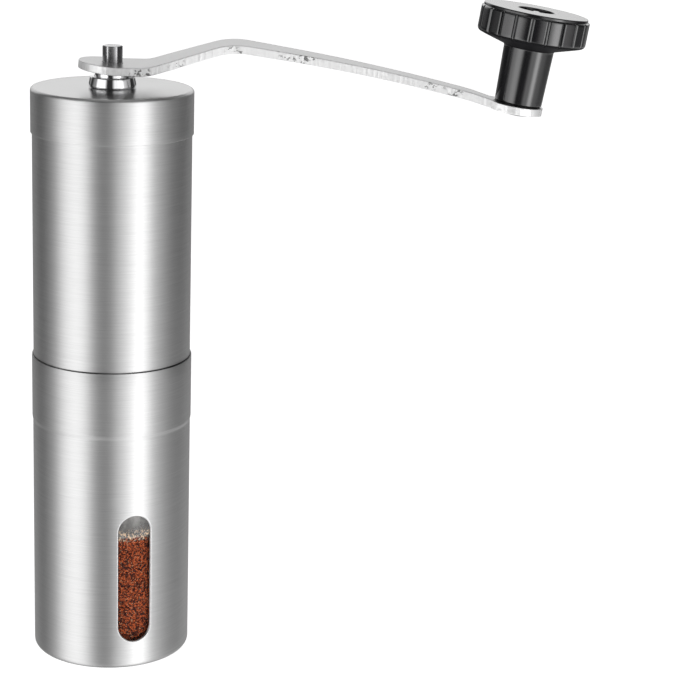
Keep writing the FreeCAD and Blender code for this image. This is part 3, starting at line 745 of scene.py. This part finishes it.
class GRINDER_OT_coffee(bpy.types.Operator):
    """Ground coffee lying in the cup, with loose grains on top of it and behind the window"""

    bl_idname = "grinder.coffee"
    bl_label = "Ground coffee"

    def execute(self, context):
        level = context.scene.grinder_look.coffee_level
        angle, half, _, _, radius = window_place()
        chance = np.random.default_rng(7)
        shell, slack, liner, play = 0.6 * MM, 0.1 * MM, 1.2 * MM, 0.08 * MM
        bore = radius - shell - slack - liner - play
        floor = low_z("catch_liner") + 1.6 * MM
        pit, heave = 0.22 * MM, 0.55 * MM
        side = np.linspace(floor + 1 * MM, level, 84)
        middle = np.linspace(bore, 0, 46)[1:]
        profile = np.concatenate([
            [(0, floor), (bore - 1.2 * MM, floor)], np.stack([0 * side + bore, side], 1),
            np.stack([middle, 0 * middle + level], 1),
        ])
        grid = turned_grid(profile, full_turn(260))
        rough = chance.uniform(0, 1, grid.shape[:2])
        pitted = grid[..., 2] > floor + 0.5 * MM
        inward = np.where(pitted, rough, 0) * pit
        out = np.hypot(grid[..., 0], grid[..., 1])
        grid[..., :2] *= (1 - inward / np.maximum(out, 1 * MM))[..., None]
        on_top = np.arange(len(profile)) >= 2 + len(side)
        heap = 0.5 * np.sin(grid[..., 0] * 260) * np.cos(grid[..., 1] * 210 + 0.8) + 0.9 * (rough - 0.5)
        grid[..., 2] += np.where(on_top[:, None], heap * heave, 0)
        grid[-1] = grid[-1].mean(axis=0)
        piece = build("ground_coffee", [(grid, True)], smooth_below=0.9)
        finish_piece(piece, "ground_coffee", "catch_cup")

        on_heap, on_liner = 2600, 420
        out = bore * np.sqrt(chance.uniform(0.02, 0.985, on_heap))
        turn = chance.uniform(0, 2 * math.pi, on_heap)
        rise = level + chance.uniform(-0.15, 0.45, on_heap) * MM
        lying = np.stack([out * np.cos(turn), out * np.sin(turn), rise], 1)
        out = bore - 0.25 * MM
        turn = angle + chance.normal(0, 0.8 * half / radius, on_liner)
        rise = level + np.abs(chance.normal(0, 3 * MM, on_liner))
        stuck = np.stack([out * np.cos(turn), out * np.sin(turn), rise], 1)
        points, faces = grains(on_heap + on_liner, np.concatenate([lying, stuck]), 0.34 * MM, seed=11)
        loose = weld("loose_grains", points, faces, smooth_below=0.2)
        finish_piece(loose, "ground_coffee", "catch_cup")
        return {"FINISHED"}


# ---- Bean chamber and lid ----

class GRINDER_OT_tube(bpy.types.Operator):
    """Steel tube of the bean chamber"""

    bl_idname = "grinder.tube"
    bl_label = "Bean chamber"

    def execute(self, context):
        out, low, high = extent("upper_tube")
        bore = out - context.scene.grinder_shell.wall
        seam = (bore, (low + high) / 2)
        piece = turned_piece("chamber_tube", [
            seam, (bore, low, 0.15 * MM), (out, low, 0.2 * MM), (out, high, 0.2 * MM),
            (bore, high, 0.15 * MM), seam,
        ], 6, 6 * MM, 256)
        finish_piece(piece, "brushed_steel", "grinder_body", ["upper_tube"])
        return {"FINISHED"}


class GRINDER_OT_lid(bpy.types.Operator):
    """Pressed steel lid and the bright ring riveted into it"""

    bl_idname = "grinder.lid"
    bl_label = "Lid"

    def execute(self, context):
        size = context.scene.grinder_shell
        out, low, high = extent("lid_cap")
        bore = widest("upper_tube") + SLIDE_FIT
        under = high - size.lid_plate
        hole, inner_round = 6.17 * MM, size.lid_round - 0.8 * MM
        piece = turned_piece("lid_shell", [
            (hole, under), (hole, high), (out, high, size.lid_round), (out, low, 0.15 * MM),
            (bore, low, 0.1 * MM), (bore, under, inner_round), (hole, under),
        ], 8, 3 * MM, 256)
        finish_piece(piece, "satin_lid", "lid", ["lid_cap"])
        second_finish(piece, "lid_top", lambda normals: normals[:, 2] >= 0.995)

        bore = widest("shaft_collar") + 0.15 * MM
        flange, crown = low_z("lid_eyelet"), top_z("lid_eyelet")
        flange_out, neck = 8 * MM, 6.15 * MM
        foot, belly, brow = 7.05 * MM, 7.25 * MM, 6.6 * MM
        ring = turned_piece("lid_ring", [
            (bore, flange), (flange_out, flange), (flange_out, under), (neck, under), (neck, high),
            (foot, high), (belly, high + 0.7 * MM, 1.5 * MM), (brow, crown, 0.4 * MM),
            (bore, crown, 0.15 * MM), (bore, flange),
        ], 10, 0.5 * MM, 128)
        finish_piece(ring, "bright_chrome", "lid", ["lid_eyelet"])
        return {"FINISHED"}


# ---- Shaft ----

CORNER_WEAR = 12


def shaft_radius(z, angles, bar, flats_top, across_flats, hex_low, across_hex):
    """Bar radius cut back by two flats facing +X and -X below flats_top and by six above hex_low.

    A flat at distance d, faced at angle f, limits the radius to d / cos(angle - f) where that is less.
    The six meet the bar in worn corners: the radius is (bar^-n + flat^-n)^(-1/n) with n = CORNER_WEAR.
    """
    pair = across_flats / 2 / np.maximum(np.abs(np.cos(angles)), 1e-6)
    facet = angles % (math.pi / 3) - math.pi / 6
    six = across_hex / 2 / np.cos(facet)
    worn = ((bar / six) ** CORNER_WEAR + 1) ** (-1 / CORNER_WEAR) * bar
    radius = np.where(z <= flats_top, np.minimum(bar, pair), bar + 0 * angles)
    return np.where(z >= hex_low, worn, radius)


class GRINDER_OT_shaft(bpy.types.Operator):
    """Drive shaft with its two flats, clip groove and six-sided top, and the bright collar on it"""

    bl_idname = "grinder.shaft"
    bl_label = "Shaft"

    def execute(self, context):
        bar, low, high = extent("drive_shaft")
        hex_low = top_z("shaft_collar")
        groove = low_z("thrust_clip") - 0.02 * MM
        notch = groove + 0.9 * MM
        flats_top, across_flats, across_hex = 103.5 * MM, 4.8 * MM, 5.7 * MM
        slim, tiny = bar - 0.6 * MM, 0.002 * MM
        angles = full_turn(192)
        profile = closer(rounded([
            (0, low), (slim, low, 0.1 * MM), (bar, low + 0.6 * MM), (bar, flats_top),
            (bar, flats_top + tiny), (bar, groove), (slim, groove + tiny), (slim, notch),
            (bar, notch + tiny), (bar, hex_low - tiny), (bar, hex_low), (bar, high, 0.35 * MM),
            (0, high),
        ], 5), 6 * MM)
        r, z = profile[:, :1], profile[:, 1:]
        limit = shaft_radius(z, angles, bar, flats_top, across_flats, hex_low, across_hex)
        grid = turned_grid(profile, angles, np.minimum(r, limit))
        piece = build("shaft_bar", [(grid, True)], smooth_below=0.3)
        finish_piece(piece, "plain_steel", "shaft", ["drive_shaft"])

        out, low, high = extent("shaft_collar")
        seam = (bar, (low + high) / 2)
        collar = turned_piece("bright_collar", [
            seam, (bar, low), (out, low, 0.4 * MM), (out, high, 0.3 * MM), (bar, high), seam,
        ], 6, 1 * MM, 128)
        finish_piece(collar, "bright_chrome", "shaft", ["shaft_collar"])
        return {"FINISHED"}


# ---- Crank ----

OVERHANG = 14 * MM


def crank_line(size):
    """The strip's top line in x and z: lifted tip, hub, rise, long fall with two bends, sloping end.

    Straight runs are joined by tangent arcs, as rounded() makes them.
    """
    hub_z = top_z("shaft_collar") + END_GAP + size.strip
    turn, foot = knob_turn()
    fall = abs(turn[2, 0] / turn[2, 2])
    reach = foot[0] + OVERHANG
    return rounded([
        (-OVERHANG, hub_z + size.tip_lift), (1 * MM, hub_z, 25 * MM), (size.valley, hub_z, 10 * MM),
        (size.peak, size.peak_height, 24 * MM), (size.sag, size.sag_height, 600 * MM),
        (size.neck, size.neck_height, 60 * MM),
        (size.end_bend, foot[2] + (foot[0] - size.end_bend) * fall, 4 * MM),
        (reach, foot[2] - (reach - foot[0]) * fall),
    ], 16)


def strip_half(size, x):
    """Half width of the tapered strip at x, from straight tapers joined by long arcs."""
    blend = 20 * MM
    line = rounded([
        (-20 * MM, size.hub), (6 * MM, size.hub, blend), (18 * MM, 10.4 * MM, blend),
        (36 * MM, 8 * MM, blend), (60 * MM, 6.3 * MM, blend), (82 * MM, 5.2 * MM, blend),
        (140 * MM, 4.6 * MM),
    ], 8)
    return np.interp(x, line[:, 0], line[:, 1])


def round_end(size, centre, radius, cut, hole, columns, rows):
    """Flat patch between a hole and a round end that is cut square across at x = cut.

    On a ray at angle a from the hole's centre the outer point is the furthest one inside the outline,
    found by halving. Past the round end's centre towards the cut, the outline is the round end or the
    strip, whichever is wider.
    """
    furthest, halvings = 30 * MM, 40
    away = 1.0 if cut > centre[0] else -1.0
    half = strip_half(size, cut)
    across = np.linspace(-half, half, columns + 1)
    cut_angles = np.unwrap(np.arctan2(across, (cut - centre[0]) + 0 * across))
    sweep = cut_angles[-1] - cut_angles[0]
    gap = math.copysign(2 * math.pi, sweep) - sweep
    others = cut_angles[-1] + gap * np.linspace(0, 1, 6 * columns + 1)[1:-1]
    angles = np.concatenate([cut_angles, others])
    near, far = np.zeros_like(angles), np.full_like(angles, furthest)
    for _ in range(halvings):
        middle = (near + far) / 2
        x, y = centre[0] + middle * np.cos(angles), middle * np.sin(angles)
        in_round = np.hypot(x - centre[1], y) <= radius
        beside = (x - centre[1]) * away >= 0
        in_strip = beside & (np.abs(y) <= strip_half(size, x))
        inside = (in_round | in_strip) & ((x - cut) * away <= 1e-9)
        near, far = np.where(inside, middle, near), np.where(inside, far, middle)
    inner = hole(angles)
    r = inner + (near - inner) * np.linspace(0, 1, rows + 1)[:, None]
    return np.stack([centre[0] + r * np.cos(angles), r * np.sin(angles)], -1)


def bent(plan, line, depth):
    """Plan points on the bent strip, at a depth square below its top line.

    At slope s of the line a point is (x + depth s / q, y, z(x) - depth / q), with q = sqrt(1 + s^2).
    """
    beside = 0.2 * MM
    x = plan[..., 0]
    z, ahead, behind = (np.interp(x + d, line[:, 0], line[:, 1]) for d in (0, beside, -beside))
    slope = (ahead - behind) / (2 * beside)
    square = np.sqrt(1 + slope ** 2)
    return np.stack([x + depth * slope / square, plan[..., 1], z - depth / square], -1)


class GRINDER_OT_crank(bpy.types.Operator):
    """Bent steel strip of the crank, with its six-sided hole, its end disc and sheared edges"""

    bl_idname = "grinder.crank"
    bl_label = "Crank"

    def execute(self, context):
        size = context.scene.grinder_crank
        line = crank_line(size)
        foot = knob_turn()[1]
        disc_x = foot[0] - size.disc_shift
        hub_cut, disc_cut = 15 * MM, disc_x - size.disc - 1 * MM
        hex_half, rivet_hole = 2.93 * MM, 2.3 * MM
        columns, strip_rows = 16, 120

        def six_sided(angles):
            facet = (angles + math.pi / 3) % (math.pi / 3) - math.pi / 6
            return hex_half / np.cos(facet)

        hub = round_end(size, (0.0, size.hub_shift), size.hub, hub_cut, six_sided, columns, 7)
        disc = round_end(
            size, (foot[0], disc_x), size.disc, disc_cut, lambda a: rivet_hole + 0 * a, columns, 6,
        )
        x = np.linspace(hub_cut, disc_cut, strip_rows)[:, None]
        across = np.linspace(-1, 1, columns + 1)
        strip = np.stack([x + 0 * across, strip_half(size, x) * across], -1)
        grids = []
        for plan, wrap in ((hub, True), (disc, True), (strip, False)):
            grids += [(bent(plan, line, depth), wrap) for depth in (0.0, size.strip)]
        walls = [(np.concatenate([end[-1, columns:], end[-1, :1]]), False) for end in (hub, disc)]
        walls += [(strip[:, 0], False), (strip[:, -1], False), (hub[0], True), (disc[0], True)]
        for rim, wrap in walls:
            grids.append((np.stack([bent(rim, line, depth) for depth in (0.0, size.strip)]), wrap))
        piece = build("crank_strip", grids, smooth_below=0.6)
        finish_piece(piece, "crank_steel", "crank", ["crank_arm"])
        second_finish(piece, "sheared_edge", lambda normals: np.abs(normals[:, 2]) < 0.5)
        rounding = piece.modifiers.new("Rounded edges", "BEVEL")
        rounding.width = size.edge
        rounding.segments = 3
        rounding.limit_method = "ANGLE"
        rounding.angle_limit = math.radians(50)
        return {"FINISHED"}


# ---- Knob ----

class GRINDER_OT_knob(bpy.types.Operator):
    """Black lobed knob and the bright rivet that it turns on"""

    bl_idname = "grinder.knob"
    bl_label = "Knob"

    def execute(self, context):
        size = context.scene.grinder_knob
        turn, foot = knob_turn()
        low, high = along_knob("knob_grip")
        band, floor = high - size.band, high - size.recess_depth
        bore, cone, cone_height = 2.86 * MM, 14.4 * MM, 19.3 * MM
        lobe_foot, lobe_start, groove_half = 20 * MM, 14 * MM, 0.3 * MM
        seam = (bore, (low + floor) / 2)
        line = closer(rounded([
            seam, (bore, low), (size.sleeve_low, low, 0.35 * MM),
            (size.sleeve_top, size.neck, 0.6 * MM), (cone, cone_height, 3 * MM),
            (size.head, lobe_foot, 1.2 * MM), (size.head, band, 0.55 * MM),
            (size.face + 0.02 * MM, band, 0.1 * MM), (size.face, high, 0.35 * MM),
            (size.recess, high, 0.35 * MM), (size.recess, floor, 0.2 * MM), (bore, floor), seam,
        ], 7), 0.5 * MM)
        angles = size.first + full_turn(size.lobes * 18)
        share = ((angles - size.first) * size.lobes / (2 * math.pi) + 0.5) % 1.0 - 0.5
        away = np.abs(share) * (2 * math.pi * size.head / size.lobes)
        # A groove at distance a from its middle is groove * exp(-(a / groove_half)^2) deep
        groove = size.groove * np.exp(-(away / groove_half) ** 2)
        r, h = line[:, :1], line[:, 1:]
        shoulder = np.clip((r - size.face - 0.05 * MM) / (size.head - size.face), 0, 1)
        below = np.clip((r - lobe_start) / (size.head - lobe_start), 0, 1) * (h < lobe_foot + 2 * MM)
        grid = turned_grid(line, angles, r - np.maximum(shoulder, below) * groove) @ turn.T + foot
        piece = build("knob_body", [(grid, True)], smooth_below=0.6)
        finish_piece(piece, "knob_black", "knob", ["knob_grip"])
        second_finish(piece, "knob_underside", lambda normals: -normals @ turn[:, 2] >= 0.35)

        low, high = along_knob("knob_pin")
        seat, head_top, washer_top = floor + 0.05 * MM, -2.43 * MM, 0.03 * MM
        head, shank, pin, dome = 4.2 * MM, 2.28 * MM, 2.8 * MM, 3.8 * MM
        line = closer(rounded([
            (0, low), (head, low, 0.7 * MM), (head, head_top), (shank, head_top), (shank, washer_top),
            (pin, washer_top), (pin, seat), (dome, seat, 0.1 * MM), (dome, seat + 1 * MM, 1 * MM),
            (0.9 * MM, high, 1.2 * MM), (0, high),
        ], 7), 0.6 * MM)
        rivet = turned_grid(line, full_turn(96)) @ turn.T + foot
        piece = build("knob_rivet", [(rivet, True)])
        finish_piece(piece, "bright_chrome", "crank", ["knob_pin"])
        return {"FINISHED"}


# ---- Inside parts and studio ----

class GRINDER_OT_inside(bpy.types.Operator):
    """Finishes of the parts that keep the frame's own shape"""

    bl_idname = "grinder.inside"
    bl_label = "Inside parts"

    def execute(self, context):
        for part in frame["record"]["subparts"]:
            node = frame["nodes"][part["node"]]
            if not node.hide_render:
                node.data.materials.clear()
                node.data.materials.append(MATERIALS[part["material_slot"]])
        return {"FINISHED"}


LENS, SENSOR = 112.39, 36.0
CAMERA = {
    "azimuth": math.radians(3.0), "pan": math.radians(6.23), "tilt": math.radians(15.48),
    "roll": math.radians(1.78), "distance": 646.7 * MM, "height": 277.5 * MM,
}


def camera_matrix(azimuth, pan, tilt, roll, distance, height):
    """Columns right, up, backwards and place of a camera on a circle round the body's axis."""
    heading = pan - azimuth
    ahead = np.array([
        math.sin(heading) * math.cos(tilt), math.cos(heading) * math.cos(tilt), -math.sin(tilt),
    ])
    right = np.cross(ahead, (0, 0, 1))
    right /= np.linalg.norm(right)
    up = np.cross(right, ahead)
    matrix = np.eye(4)
    matrix[:3, 0] = math.cos(roll) * right + math.sin(roll) * up
    matrix[:3, 1] = math.cos(roll) * up - math.sin(roll) * right
    matrix[:3, 2] = -ahead
    matrix[:3, 3] = (distance * math.sin(azimuth), -distance * math.cos(azimuth), height)
    return matrix


# Soft boxes: bearing from the camera, half width, its soft edge, lowest and highest elevation, their
# soft edge, strength. Angles are in degrees.
LIGHTS = (
    (-57, 25, 16, -70, 24, 12, 1.18),
    (-50, 14, 24, -20, 2, 14, 1.25),
    (-88, 18, 24, -70, 24, 12, 0.25),
    (30, 25, 18, -70, 24, 12, 1.08),
    (58, 22, 36, -70, 24, 12, 0.62),
    (40, 9, 14, -34, -4, 12, 1.90),
    (180, 44, 30, 2, 40, 8, 0.97),
    (180, 44, 30, -70, -4, 6, 0.20),
    (0, 180, 0, -90, -16, 20, 0.26),
    (115, 35, 30, -70, -19, 10, 0.30),
    (-20, 13, 20, -70, -18, 12, 0.22),
    (0, 180, 0, 60, 95, 20, 0.40),
)
ROOM = 0.03
PALE = 1.0
FLOOR_REACH = 6.0
FLOOR_GLOW = 0.84


def studio_world(camera_azimuth):
    """Room light: a dim room with soft boxes round the object and under it.

    A box adds strength * a * e: a falls smoothly from 1 to 0 across its soft edge as the bearing leaves
    its width, and e does so as the elevation asin(z) leaves its span. The lens itself sees a pale room.
    """
    world = bpy.data.worlds.new("studio")
    world.use_nodes = True
    bpy.context.scene.world = world
    bench = Bench(world.node_tree)
    way = bench.add("ShaderNodeTexCoord", output="Generated")
    x, y, z = (bench.part(way, i) for i in range(3))
    bearing = bench.maths("ARCTAN2", x, 0.0 - y)
    elevation = bench.maths("ARCSINE", z)

    def over(value, edge, soft):
        return bench.step(value, math.radians(edge - soft / 2), math.radians(edge + soft / 2))

    level = ROOM
    for centre, half, soft, low, high, fade, strength in LIGHTS:
        turned = bearing - (camera_azimuth + math.radians(centre))
        away = bench.maths("ABSOLUTE", bench.maths("WRAP", turned, math.pi, -math.pi))
        inside = (1.0 - over(away, half, soft)) * over(elevation, low, fade)
        level = inside * (1.0 - over(elevation, high, fade)) * strength + level
    sight = bench.add("ShaderNodeLightPath", output="Is Camera Ray")
    shown = level * (1.0 - sight) + sight * PALE
    light = bench.add("ShaderNodeBackground", {}, {"Color": (1.0, 1.0, 1.0, 1.0), "Strength": shown})
    bench.end_at("ShaderNodeOutputWorld", light)


class GRINDER_OT_stage(bpy.types.Operator):
    """Pale floor, soft boxes and camera"""

    bl_idname = "grinder.stage"
    bl_label = "Stage"

    def execute(self, context):
        span = np.linspace(-FLOOR_REACH, FLOOR_REACH, 3)
        ground = np.stack(np.meshgrid(span, span, indexing="ij") + [np.zeros((3, 3))], -1)
        floor = build("floor", [(ground, False)])
        if floor.data.polygons[0].normal.z < 0:
            floor.data.flip_normals()
        material, bench = new_material("pale_floor")
        bench.surface({
            "Base Color": (0.86, 0.86, 0.86, 1.0), "Roughness": 0.7, "Specular IOR Level": 0.1,
            "Emission Color": (1.0, 1.0, 1.0, 1.0), "Emission Strength": FLOOR_GLOW,
        })
        floor.data.materials.append(material)
        floor.visible_glossy = False
        studio_world(CAMERA["azimuth"])
        data = bpy.data.cameras.new("camera")
        data.lens = LENS
        data.sensor_width = SENSOR
        data.clip_start = 10 * MM
        camera = bpy.data.objects.new("camera", data)
        camera.matrix_world = camera_matrix(**CAMERA).T.tolist()
        scene = context.scene
        scene.collection.objects.link(camera)
        scene.camera = camera
        scene.view_settings.view_transform = "Standard"
        return {"FINISHED"}


class GRINDER_PT_panel(bpy.types.Panel):
    """Lists the pieces and sizes"""

    bl_idname = "GRINDER_PT_panel"
    bl_label = "Coffee grinder"
    bl_space_type = "VIEW_3D"
    bl_region_type = "UI"
    bl_category = "Grinder"

    def draw(self, context):
        for operator in OPERATORS:
            self.layout.operator(operator.bl_idname)
        for group, kind in GROUPS.items():
            box = self.layout.box()
            for name in kind.__annotations__:
                box.prop(getattr(context.scene, group), name)


OPERATORS = (
    GRINDER_OT_stage, GRINDER_OT_cup, GRINDER_OT_coffee, GRINDER_OT_tube, GRINDER_OT_lid,
    GRINDER_OT_shaft, GRINDER_OT_crank, GRINDER_OT_knob, GRINDER_OT_inside,
)
CLASSES = (*GROUPS.values(), *OPERATORS, GRINDER_PT_panel)


def register():
    for kind in CLASSES:
        bpy.utils.register_class(kind)
    for name, kind in GROUPS.items():
        setattr(bpy.types.Scene, name, bpy.props.PointerProperty(type=kind))


def unregister():
    for name in GROUPS:
        delattr(bpy.types.Scene, name)
    for kind in reversed(CLASSES):
        bpy.utils.unregister_class(kind)


def main():
    """Builds every piece in order."""
    register()
    MATERIALS.update(make_materials(bpy.context.scene.grinder_look))
    for operator in OPERATORS:
        family, name = operator.bl_idname.split(".")
        getattr(getattr(bpy.ops, family), name)()


if __name__ == "__main__":
    main()
